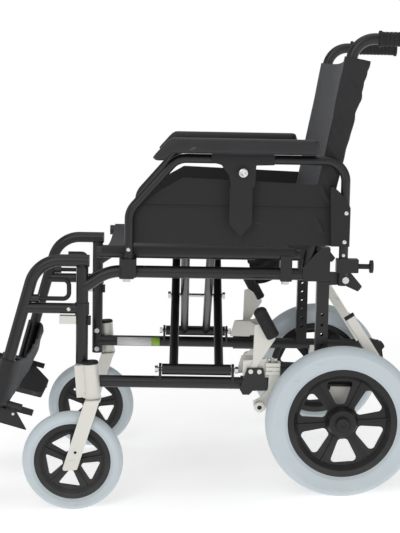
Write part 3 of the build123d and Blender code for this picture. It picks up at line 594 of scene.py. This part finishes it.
# Seat sling: an arc over each seat rail, and between them a sag that is deepest in the middle,
# with its front and rear edges pulled down a little and a faint ripple of crossed sines
seat = {
    "frontS": -0.474, "rearS": -0.094, "railT": 0.321, "wrapRadius": 0.0126,
    "wrapFrom": math.radians(-4), "wrapTo": math.radians(100), "sag": 0.017, "sagPower": 0.85,
    "thickness": 0.0026, "ripple": 0.0012, "rippleWaves": (41, 3, 23), "edgeDip": 0.003,
    "edgeReach": 0.03, "wrapColumns": 20, "spanColumns": 110, "rows": 90, "braceS": -0.28,
}
# The slack tail under the seat's rear edge: a slanted strip that hollows and ripples
tail = {
    "frontS": -0.171, "frontT": 0.262, "rearS": -0.107, "rearT": 0.287, "halfWidth": 0.186,
    "hollow": 0.006, "ripple": 0.0025, "rippleWaves": (55, 4), "columns": 60, "rows": 20,
}


def makeSeat():
    radius, left, right = seat["wrapRadius"], track, -track
    edgeX = left + radius * math.cos(seat["wrapTo"])
    edgeT = seat["railT"] + radius * math.sin(seat["wrapTo"])
    arc = np.linspace(seat["wrapFrom"], seat["wrapTo"], seat["wrapColumns"])
    span = np.linspace(edgeX, -edgeX, seat["spanColumns"] + 2)[1:-1]
    profileX = np.concatenate([left + radius * np.cos(arc), span, right - radius * np.cos(arc[::-1])])
    sagged = edgeT - seat["sag"] * (1 - (span / edgeX) ** 2) ** seat["sagPower"]
    wrapT = seat["railT"] + radius * np.sin(arc)
    profileT = np.concatenate([wrapT, sagged, wrapT[::-1]])
    x, s = np.meshgrid(profileX, np.linspace(seat["frontS"], seat["rearS"], seat["rows"]))
    free = np.clip(1 - (x / edgeX) ** 2, 0, 1)
    nearEdge = (np.exp(-((s - seat["frontS"]) / seat["edgeReach"]) ** 2)
                + np.exp(-((s - seat["rearS"]) / seat["edgeReach"]) ** 2))
    alongS, alongX, acrossX = seat["rippleWaves"]
    ripple = seat["ripple"] * free * np.sin(s * alongS + alongX * x) * np.cos(x * acrossX)
    t = profileT[None] - seat["edgeDip"] * nearEdge * free + ripple
    cloth = thickSheet("seatCloth", place(x, s, t), seat["thickness"], "slingNylon", None,
                       ["seat_sling"])

    x, v = np.meshgrid(np.linspace(tail["halfWidth"], -tail["halfWidth"], tail["columns"]),
                       np.linspace(0, 1, tail["rows"]))
    s = tail["frontS"] + (tail["rearS"] - tail["frontS"]) * v
    t = tail["frontT"] + (tail["rearT"] - tail["frontT"]) * v - tail["hollow"] * np.sin(math.pi * v)
    t = t + tail["ripple"] * np.sin(x * tail["rippleWaves"][0] + tail["rippleWaves"][1] * v)
    slack = thickSheet("seatTail", place(x, s, t), seat["thickness"], "slingNylon", None)

    for piece in (cloth, slack):
        tuple(place(-edgeX, seat["braceS"], seat["railT"]))
        tuple(place(edgeX, seat["braceS"], seat["railT"]))
        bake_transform(piece)


makeSeat()

# Back upholstery: one closed sleeve round both canes. At each height its front is a flat curve that
# sags between the canes, its rear stands off by a depth that is large behind the canes and small
# between them, and half ellipses with creases close it outside the canes.
back = {
    "footS": -0.071, "footT": 0.299, "lean": math.radians(10.3), "low": 0.050, "high": 0.4130,
    "caneRadius": 0.011, "skin": 0.0016, "thickness": 0.002, "deepTop": 0.047, "deepLow": 0.031,
    "deepPower": 1.4, "between": 0.009, "betweenX": (0.168, 0.214), "sag": 0.016, "sagHalf": 0.205,
    "sagPower": 0.9, "outX": 0.229, "corner": 0.006, "cornerPower": 0.35, "topDip": 0.004,
    "topHalf": 0.20, "columns": 90, "cornerColumns": 24, "rows": 150,
}
# Slack and creases: heights in metres, waves in radians a metre
backFolds = {
    "wave": 0.0011, "waves": (96, 173, 1.3), "waveShare": 0.6, "waveFrom": (0.25, 0.8),
    "bulge": 0.0026, "bulges": (150, 0.7), "bulgeFrom": (0.55, 0.9),
    "ripple": 0.0009, "ripples": (37, 5, 19),
    "crease": 0.0017, "creases": (95, 70), "fineCrease": 0.0010, "fineCreases": (230, 240),
    "creaseFloor": -0.001,
}


def makeBack():
    folds = backFolds
    up = math.sin(back["lean"]) * rearWay + math.cos(back["lean"]) * upWay
    off = math.cos(back["lean"]) * rearWay - math.sin(back["lean"]) * upWay
    edge = back["outX"] - back["corner"]
    frontX = np.linspace(edge, -edge, back["columns"])[None]
    rise = np.linspace(back["low"], back["high"], back["rows"])[:, None]
    share = (rise - back["low"]) / (back["high"] - back["low"])

    sag = back["sag"] * np.clip(1 - (frontX / back["sagHalf"]) ** 2, 0, 1) ** back["sagPower"]
    rippleRise, rippleX, rippleAcross = folds["ripples"]
    ripple = folds["ripple"] * np.sin(rise * rippleRise + rippleX * frontX) * np.cos(frontX * rippleAcross)
    front = -back["caneRadius"] - back["skin"] + sag + ripple

    deep = back["deepLow"] + (back["deepTop"] - back["deepLow"]) * share ** back["deepPower"]
    slow, quick, shift = folds["waves"]
    wave = np.sin(rise * slow) + folds["waveShare"] * np.sin(rise * quick + shift)
    bulge = np.maximum(0, np.sin(rise * folds["bulges"][0] + folds["bulges"][1]))
    slack = folds["wave"] * wave * smooth(share, *folds["waveFrom"])
    slack = slack + folds["bulge"] * bulge * smooth(share, *folds["bulgeFrom"])
    rearX = frontX[:, ::-1]
    behindCane = smooth(np.abs(rearX), *back["betweenX"])
    rear = front[:, ::-1] + back["between"] + (deep + slack - back["between"]) * behindCane

    angle = np.linspace(-math.pi / 2, math.pi / 2, back["cornerColumns"])[None]
    middle = (rear[:, :1] + front[:, -1:]) / 2
    cornerOff = middle + (rear[:, :1] - front[:, -1:]) / 2 * np.sin(angle)
    fromMiddle = cornerOff - middle
    crease = folds["crease"] * np.sin(folds["creases"][0] * rise + folds["creases"][1] * fromMiddle)
    crease = crease + folds["fineCrease"] * np.sin(
        folds["fineCreases"][0] * rise + folds["fineCreases"][1] * fromMiddle)
    crease = np.maximum(crease * np.cos(angle) ** 0.5, folds["creaseFloor"])
    bow = edge + back["corner"] * np.cos(angle) ** back["cornerPower"] + crease

    rows = np.ones_like(rise)
    x = np.concatenate([(frontX * rows)[:, :-1], -bow, (rearX * rows)[:, 1:], bow[:, ::-1]], 1)
    away = np.concatenate([front[:, :-1], cornerOff, rear[:, 1:], cornerOff[:, ::-1]], 1)
    dip = back["topDip"] * smooth(share, 0.90, 1.0) * np.clip(1 - (x / back["topHalf"]) ** 2, 0, 1)
    points = (place(0.0, back["footS"], back["footT"]) + x[..., None] * across + away[..., None] * off
              + (rise - dip)[..., None] * up)
    cloth = thickSheet("backCloth", points, back["thickness"], "slingNylon", "left_frame",
                       ["back_sling"], closed=True)
    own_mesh(cloth)


makeBack()

# Calf strap: an arc round the outside of each hanger, and between them a bow whose depth grows with a
# high power of the distance from the hangers, so that it is nearly flat behind the legs
calf = {
    "low": 0.018, "high": 0.104, "topS": -0.602, "topT": 0.303, "lean": math.radians(15.6),
    "wrapRadius": 0.0140, "wrapFrom": math.radians(-150), "wrapTo": math.radians(62), "deep": 0.026,
    "bowPower": 7, "belly": 0.10, "thickness": 0.0028, "wrapColumns": 26, "columns": 120, "rows": 34,
}
# How the bow hangs: its low edge drawn up, its top edge drawn down, and ripples of crossed sines
calfFolds = {
    "freeX": (0.150, 0.205), "raise": 0.010, "drop": 0.004, "swayFrom": (0.02, 0.04), "sway": 0.003,
    "swayWaves": 46, "edge": 0.0016, "edgeWaves": (120, 6), "ripple": 0.0022, "ripples": (9, 31, 57),
}


def makeCalfStrap():
    folds = calfFolds
    turn = np.linspace(calf["wrapFrom"], calf["wrapTo"], calf["wrapColumns"])
    wrapX = track + calf["wrapRadius"] * np.cos(turn)
    wrapOff = calf["wrapRadius"] * np.sin(turn)
    bowX = np.linspace(wrapX[-1], -wrapX[-1], calf["columns"])[1:-1]
    bowShape = 1 - np.abs(bowX / wrapX[-1]) ** calf["bowPower"]
    bowOff = wrapOff[-1] + (calf["deep"] - wrapOff[-1]) * bowShape
    x = np.concatenate([wrapX, bowX, -wrapX[::-1]])[None]
    off = np.concatenate([wrapOff, bowOff, wrapOff[::-1]])[None]

    t = np.linspace(calf["low"], calf["high"], calf["rows"])[:, None]
    share = (t - calf["low"]) / (calf["high"] - calf["low"])
    hangerS = calf["topS"] - (calf["topT"] - t) * math.tan(calf["lean"])
    off = off * np.where(off > wrapOff[-1], 1 + calf["belly"] * np.sin(share * math.pi), 1.0)
    lift = folds["sway"] * np.sin(x * folds["swayWaves"]) * smooth(off, *folds["swayFrom"])
    free = 1 - smooth(np.abs(x), *folds["freeX"])
    lift = lift + free * (folds["raise"] * (1 - share) - folds["drop"] * share)
    lift = lift + free * folds["edge"] * np.sin(x * folds["edgeWaves"][0] + folds["edgeWaves"][1] * share)
    down, alongX, acrossX = folds["ripples"]
    off = off + free * folds["ripple"] * np.sin(share * down + x * alongX) * np.cos(x * acrossX)
    points = place(x + 0 * t, hangerS + off * math.cos(calf["lean"]),
                   t + lift - off * math.sin(calf["lean"]))
    cloth = thickSheet("calfCloth", points, calf["thickness"], "slingNylon", "left_legrest",
                       ["calf_strap"])
    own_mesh(cloth)


makeCalfStrap()

# Arm pads: a superellipse carried along the armrest, shrunk to nothing like a quarter circle at both
# ends, with its top and its underside drawn down over the front bend
pad = {
    "rearS": -0.058, "frontS": -0.376, "low": 0.5182, "high": 0.548, "inner": 0.232, "outer": 0.280,
    "square": 4.2, "nose": 0.504, "noseFrom": (0.334, 0.356), "dropTop": 0.034,
    "dropFrom": (0.335, 0.380), "dropPower": 1.1, "endShare": 0.03, "stations": 70, "around": 56,
    "fill": 0.95,
}


def makeArmPads():
    stretch = np.linspace(0, 1, pad["stations"])[:, None]
    s = pad["rearS"] + (pad["frontS"] - pad["rearS"]) * stretch
    nearEnd = np.minimum(1, np.minimum(stretch, 1 - stretch) / pad["endShare"])
    shrink = np.sqrt(np.clip(1 - (1 - nearEnd) ** 2, 0.02, 1))
    high = pad["high"] - pad["dropTop"] * smooth(-s, *pad["dropFrom"]) ** pad["dropPower"]
    low = pad["low"] + (pad["nose"] - pad["low"]) * smooth(-s, *pad["noseFrom"])
    angle = np.linspace(0, 2 * np.pi, pad["around"], endpoint=False)[None]
    sectionX = np.sign(np.cos(angle)) * np.abs(np.cos(angle)) ** (2 / pad["square"])
    sectionT = np.sign(np.sin(angle)) * np.abs(np.sin(angle)) ** (2 / pad["square"])
    centerX, halfX = (pad["inner"] + pad["outer"]) / 2, (pad["outer"] - pad["inner"]) / 2
    x = centerX + halfX * sectionX * shrink
    t = (high + low) / 2 + (high - low) / 2 * sectionT * shrink
    for side, sign in sides.items():
        rings = place(sign * x, s + 0 * t, t)
        if sign < 0:
            rings = rings[:, ::-1]
        foam = ringBodies(side + "PadFoam", [rings], "padFoam", side + "_pad", [side + "_arm_pad"])
    print("arm pads built")


makeArmPads()

# Small hardware that the CAD leaves out. Profiles are (radius, distance along the axis); a dome head's
# profile is in shares of its radius, and each head is (x, s, t, radius).
hardware = {
    "domeHead": [(0.0, 0.0), (1.0, 0.0), (1.0, 0.25), (0.85, 0.5), (0.5, 0.68), (0.0, 0.72)],
    "heads": {
        "armrest": [(0.249, -0.4215, 0.330, 0.0042), (0.249, -0.002, 0.408, 0.0045),
                    (0.249, -0.004, 0.352, 0.0045), (0.249, -0.005, 0.326, 0.0036)],
        "legrest": [(0.2256, -0.5385, 0.208, 0.0042)],
        "frame": [(0.2272, -0.513, 0.089, 0.0048), (0.2272, -0.513, 0.047, 0.0048)],
        "footplate": [(0.1945, -0.652, -0.012, 0.0036)],
    },
    "knobAt": (0.2592, -0.203, 0.483),
    "knob": [(0, 0.0), (0.0088, 0.0), (0.0092, 0.001), (0.0092, 0.0045), (0.0084, 0.0062),
             (0.005, 0.0068), (0.0046, 0.0056), (0, 0.0056)],
    "hubAt": (0.2888, 0.0, 0.0),
    "hub": [(0, 0.0), (0.0135, 0.0), (0.0135, 0.003), (0.0118, 0.0046), (0.006, 0.005),
            (0.0052, 0.0036), (0, 0.0036)],
    "wrap": [(-0.030, 0.343), (0.006, 0.343), (0.006, 0.418), (-0.002, 0.434), (-0.013, 0.446),
             (-0.027, 0.458), (-0.034, 0.458)],
    "wrapX": (0.2308, 0.0186),           # its inner face and its thickness, as for the next two
    "latch": box(-0.557, -0.524, 0.178, 0.194), "latchX": (0.206, 0.018),
    "clip": box(-0.502, -0.496, 0.176, 0.193), "clipX": (0.207, 0.016),
}


def makeScrewHeads(side, sign):
    for body, spots in hardware["heads"].items():
        domes = []
        for x, s, t, radius in spots:
            profile = [(ring * radius, height * radius) for ring, height in hardware["domeHead"]]
            domes.append(turned(place(sign * x, s, t), sign * across, profile, 20))
        ringBodies(side + body.capitalize() + "Screws", domes, "boltMetal", side + "_" + body)


def makeKnobAndHub(side, sign):
    for part, place3, profile, around, finish, body, slotName in (
            ("PadKnob", hardware["knobAt"], hardware["knob"], 36, "boltMetal", "_pad", "bolts"),
            ("HubCap", hardware["hubAt"], hardware["hub"], 40, "blackPlastic", "_frame", "black_plastic")):
        x, s, t = place3
        ringBodies(side + part, [turned(place(sign * x, s, t), sign * across, profile, around)], finish,
                   side + body)


# The hem that wraps the panel round the armrest's rear leg, and the post's latch and clip
def makePlates(side, sign):
    plate(side + "PanelWrap", hardware["wrap"], *hardware["wrapX"], sign, "panelPlastic",
          side + "_armrest", "panel")
    plate(side + "PostLatch", hardware["latch"], *hardware["latchX"], sign, "silverMetal",
          side + "_legrest", "silver")
    plate(side + "PostClip", hardware["clip"], *hardware["clipX"], sign, "blackPlastic",
          side + "_frame", "black_plastic")


# A brake grip is a sleeve along the lever's end: a grooved cylinder that ends in a half ellipse
grip = {
    "x": 0.2434, "foot": (-0.1365, 0.163), "top": (-0.1680, 0.2195), "radius": 0.0134, "dome": 0.010,
    "footShare": 0.86, "footEnd": -0.001, "footRim": 0.002, "grooves": 11,
    "grooveFrom": 0.006, "plainEnds": 0.018,
    "grooveDepth": 0.0007, "grooveEdge": 0.0006, "grooveFloor": 0.0007, "domeRings": 8,
}


def makeBrakeGrip(side, sign):
    foot = place(sign * grip["x"], *grip["foot"])
    reach = place(sign * grip["x"], *grip["top"]) - foot
    long, radius = float(np.linalg.norm(reach)), grip["radius"]
    floorRadius, edge = radius - grip["grooveDepth"], grip["grooveEdge"]
    profile = [(0, grip["footEnd"]), (radius * grip["footShare"], grip["footEnd"]),
               (radius, grip["footRim"])]
    for groove in range(grip["grooves"]):
        start = grip["grooveFrom"] + groove * (long - grip["plainEnds"]) / grip["grooves"]
        stop = start + edge + grip["grooveFloor"]
        profile += [(radius, start), (floorRadius, start + edge), (floorRadius, stop),
                    (radius, stop + edge)]
    domeFoot = long - grip["dome"]
    profile.append((radius, domeFoot))
    for angle in np.linspace(0, math.pi / 2, grip["domeRings"])[1:-1]:
        profile.append((radius * math.cos(angle), domeFoot + grip["dome"] * math.sin(angle)))
    profile.append((0, long))
    ringBodies(side + "BrakeGrip", [turned(foot, reach, profile, 36)], "gripRubber", side + "_brake_lever")


# The brake's slide block: bars in rows with two upright hex bolts, and the roller's bored end, where a black
# disc fills the hole as painted shade
brakeBlock = {
    "x": 0.2362, "thickness": 0.004, "front": -0.1495, "rear": -0.1215, "low": 0.0855, "rows": 3,
    "boltOut": 0.001, "pitch": 0.0082, "bar": 0.0072, "bolts": (-0.1425, -0.1300), "sunk": 0.002,
    "bolt": [(0, 0), (0.0028, 0), (0.0028, 0.007), (0.0044, 0.0071), (0.0044, 0.0112), (0, 0.0116)],
}
roller = {
    "x": 0.2576, "at": (-0.161, 0.024),
    "ring": [(0.0046, -0.0004), (0.0078, -0.0004), (0.0078, 0.0008), (0.0046, 0.0012),
             (0.0044, -0.0002), (0, -0.0003)],
    # A black disc sitting in the ring's hole: painted shade for the dark inside of the bore
    "boreShade": [(0, -0.0002), (0.0045, -0.0002), (0.0045, 0.0004), (0, 0.0004)],
}


def makeBrakeBlock(side, sign):
    for row in range(brakeBlock["rows"]):
        low = brakeBlock["low"] + row * brakeBlock["pitch"]
        high = low + brakeBlock["bar"]
        plate(f"{side}BrakeBar{row + 1}", box(brakeBlock["front"], brakeBlock["rear"], low, high),
              brakeBlock["x"], brakeBlock["thickness"], sign, "silverMetal", side + "_frame", "silver")
    boltX, foot = sign * (brakeBlock["x"] + brakeBlock["boltOut"]), high - brakeBlock["sunk"]
    bolts = [turned(place(boltX, spot, foot), upWay, brakeBlock["bolt"], 6) for spot in brakeBlock["bolts"]]
    ringBodies(side + "BrakeBolts", bolts, "boltMetal", side + "_frame")
    end = place(sign * roller["x"], *roller["at"])
    # The ring in silver, and in its hole a black disc that is painted shade
    for part, finish, slotName in (("ring", "silverMetal", "silver"),
                                   ("boreShade", "blackPlastic", "black_plastic")):
        rings = turned(end, sign * across, roller[part], 32)
        ringBodies(side + "Roller" + part.capitalize(), [rings], finish, side + "_brake_shoe")


for side, sign in sides.items():
    makeScrewHeads(side, sign)
    makeKnobAndHub(side, sign)
for side, sign in sides.items():
    makePlates(side, sign)
for side, sign in sides.items():
    makeBrakeBlock(side, sign)
    makeBrakeGrip(side, sign)

# A plain pale band and a tinted end on the right lower rail, each an arc of thin film
band = {"t": 0.063, "radius": 0.0123, "front": -0.466, "middle": -0.387, "rear": -0.368,
        "halfTurn": math.radians(50), "columns": 20, "thickness": 0.0003}


def makeBand(name, start, stop, finish):
    ends = place(-track, np.array([start, stop]), band["t"])
    angle = np.linspace(-band["halfTurn"], band["halfTurn"], band["columns"])
    outward = np.cos(angle)[:, None] * across + np.sin(angle)[:, None] * upWay
    film = ends[:, None] + outward[None] * band["radius"]
    thickSheet(name, film, band["thickness"], finish, "right_frame")


makeBand("railBand", band["front"], band["middle"], "paleBand")
makeBand("railBandEnd", band["middle"], band["rear"], "tintBand")
print("hardware built")

# Floor: a glowing matt sheet that turns into plain white away from the chair
ground = {"half": 9, "color": (0.9, 0.9, 0.9, 1), "roughness": 0.9, "glow": 0.52,
          "fadeNear": 0.75, "fadeFar": 1.6, "white": 1.0}


# Its white share grows in a straight line with the distance from the middle, from near to far
def makeFloor():
    half = ground["half"]
    mesh = bpy.data.meshes.new("floor")
    mesh.from_pydata([(-half, -half, 0), (half, -half, 0), (half, half, 0), (-half, half, 0)], [],
                     [(0, 1, 2, 3)])
    floor = bpy.data.objects.new("floor", mesh)
    bpy.context.scene.collection.objects.link(floor)
    paper, tree, shader, coords = startFinish("paleFloor", {
        "Base Color": ground["color"], "Roughness": ground["roughness"], "Specular IOR Level": 0.0,
        "Emission Color": (1, 1, 1, 1), "Emission Strength": ground["glow"]})
    away = tree.nodes.new("ShaderNodeVectorMath")
    away.operation = "LENGTH"
    tree.links.new(coords.outputs["Object"], away.inputs[0])
    share = tree.nodes.new("ShaderNodeMapRange")
    share.inputs["From Min"].default_value = ground["fadeNear"]
    share.inputs["From Max"].default_value = ground["fadeFar"]
    tree.links.new(away.outputs["Value"], share.inputs["Value"])
    white = tree.nodes.new("ShaderNodeEmission")
    white.inputs["Strength"].default_value = ground["white"]
    mix = tree.nodes.new("ShaderNodeMixShader")
    tree.links.new(share.outputs["Result"], mix.inputs["Fac"])
    tree.links.new(shader.outputs["BSDF"], mix.inputs[1])
    tree.links.new(white.outputs["Emission"], mix.inputs[2])
    tree.links.new(mix.outputs["Shader"], tree.nodes["Material Output"].inputs["Surface"])
    mesh.materials.append(paper)


makeFloor()
